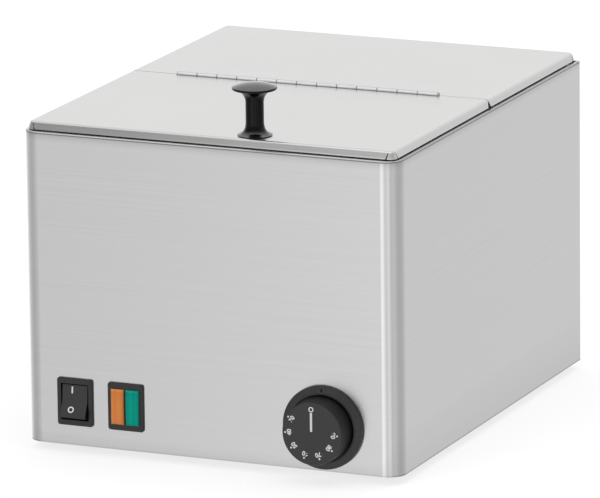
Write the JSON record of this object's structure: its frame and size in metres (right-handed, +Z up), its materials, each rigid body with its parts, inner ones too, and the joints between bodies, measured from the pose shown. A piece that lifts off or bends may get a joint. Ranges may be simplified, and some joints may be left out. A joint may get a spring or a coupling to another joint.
{
  "type": "sausage warmer",
  "caption": "Countertop warmer: sheet-steel casing with a heated water bath, a drop-in container, a flat lid folding on a piano hinge, a rocker switch and a thermostat dial.",
  "frame": {"origin": "middle of the whole outline's floor, on the surface that the feet stand on", "axes": "+X to the right seen from the front, +Y from the front to the back, +Z up"},
  "size_m": [0.27, 0.3704, 0.2594],
  "materials": {
    "stainless": "fine brushed satin",
    "zinc_steel": "bright zinc plate",
    "galvanised": "galvanised",
    "rubber": "matt",
    "black_plastic": "fine satin grain",
    "black_gloss": "glossy",
    "orange_lens": "translucent",
    "green_lens": "translucent",
    "grey_plastic": "moulded",
    "ceramic": "glazed ceramic",
    "element_sheath": "heat-darkened",
    "copper": "drawn tube",
    "brass": "turned"
  },
  "bodies": {
    "housing": {"casing": "stainless", "base_plate": "galvanised", "base_screws": "zinc_steel", "feet": "rubber", "foot_screws": "zinc_steel", "foot_nuts": "zinc_steel", "rear_panel": "stainless", "rear_panel_screws": "zinc_steel", "cable_gland": "black_plastic", "gland_locknut": "black_plastic", "tank": "stainless", "switch_housing": "black_plastic", "lamp_housing": "black_plastic", "lens_orange": "orange_lens", "lens_green": "green_lens", "dial_ring": "black_plastic", "thermostat": "grey_plastic", "thermostat_screws": "zinc_steel", "heating_element": "element_sheath", "clamp_bars": "galvanised", "clamp_studs": "zinc_steel", "clamp_nuts": "zinc_steel", "sensor": "copper", "bulb_clip": "galvanised", "safety_cutout": "grey_plastic", "cutout_studs": "zinc_steel", "cutout_nuts": "zinc_steel", "terminal_block": "ceramic", "block_screw": "zinc_steel", "earth_screw": "brass", "earth_nut": "brass"},
    "container": {"container": "stainless"},
    "insert": {"perforated_floor": "stainless", "floor_legs": "stainless"},
    "rear_half": {"lid_rear": "stainless", "hinge_leaf_rear": "stainless", "hinge_pin": "stainless"},
    "front_half": {"lid_front": "stainless", "hinge_leaf_front": "stainless", "lid_knob": "black_gloss", "lid_knob_stud": "stainless"},
    "rocker": {"rocker": "black_plastic"},
    "dial": {"dial_knob": "black_plastic", "dial_shaft": "zinc_steel"}
  },
  "joints": [
    {"name": "container_lift", "type": "slide", "parent": "housing", "child": "container", "axis": [0, 0, 1], "range_m": [0, 0.18]},
    {"name": "insert_lift", "type": "slide", "parent": "container", "child": "insert", "axis": [0, 0, 1], "range_m": [0, 0.13]},
    {"name": "lid_lift", "type": "slide", "parent": "container", "child": "rear_half", "axis": [0, 0, 1], "range_m": [0, 0.12]},
    {"name": "lid_fold", "type": "hinge", "parent": "rear_half", "child": "front_half", "pos_m": [-0.0008, 0.00445, 0.22425], "axis": [-1, 0, 0], "range_deg": [0, 165]},
    {"name": "rocker_tilt", "type": "hinge", "parent": "housing", "child": "rocker", "pos_m": [-0.0978, -0.16435, 0.036], "axis": [1, 0, 0], "range_deg": [0, 31]},
    {"name": "dial_turn", "type": "hinge", "parent": "housing", "child": "dial", "pos_m": [0.0815, -0.16525, 0.036], "axis": [0, 1, 0], "range_deg": [0, 270]}
  ]
}
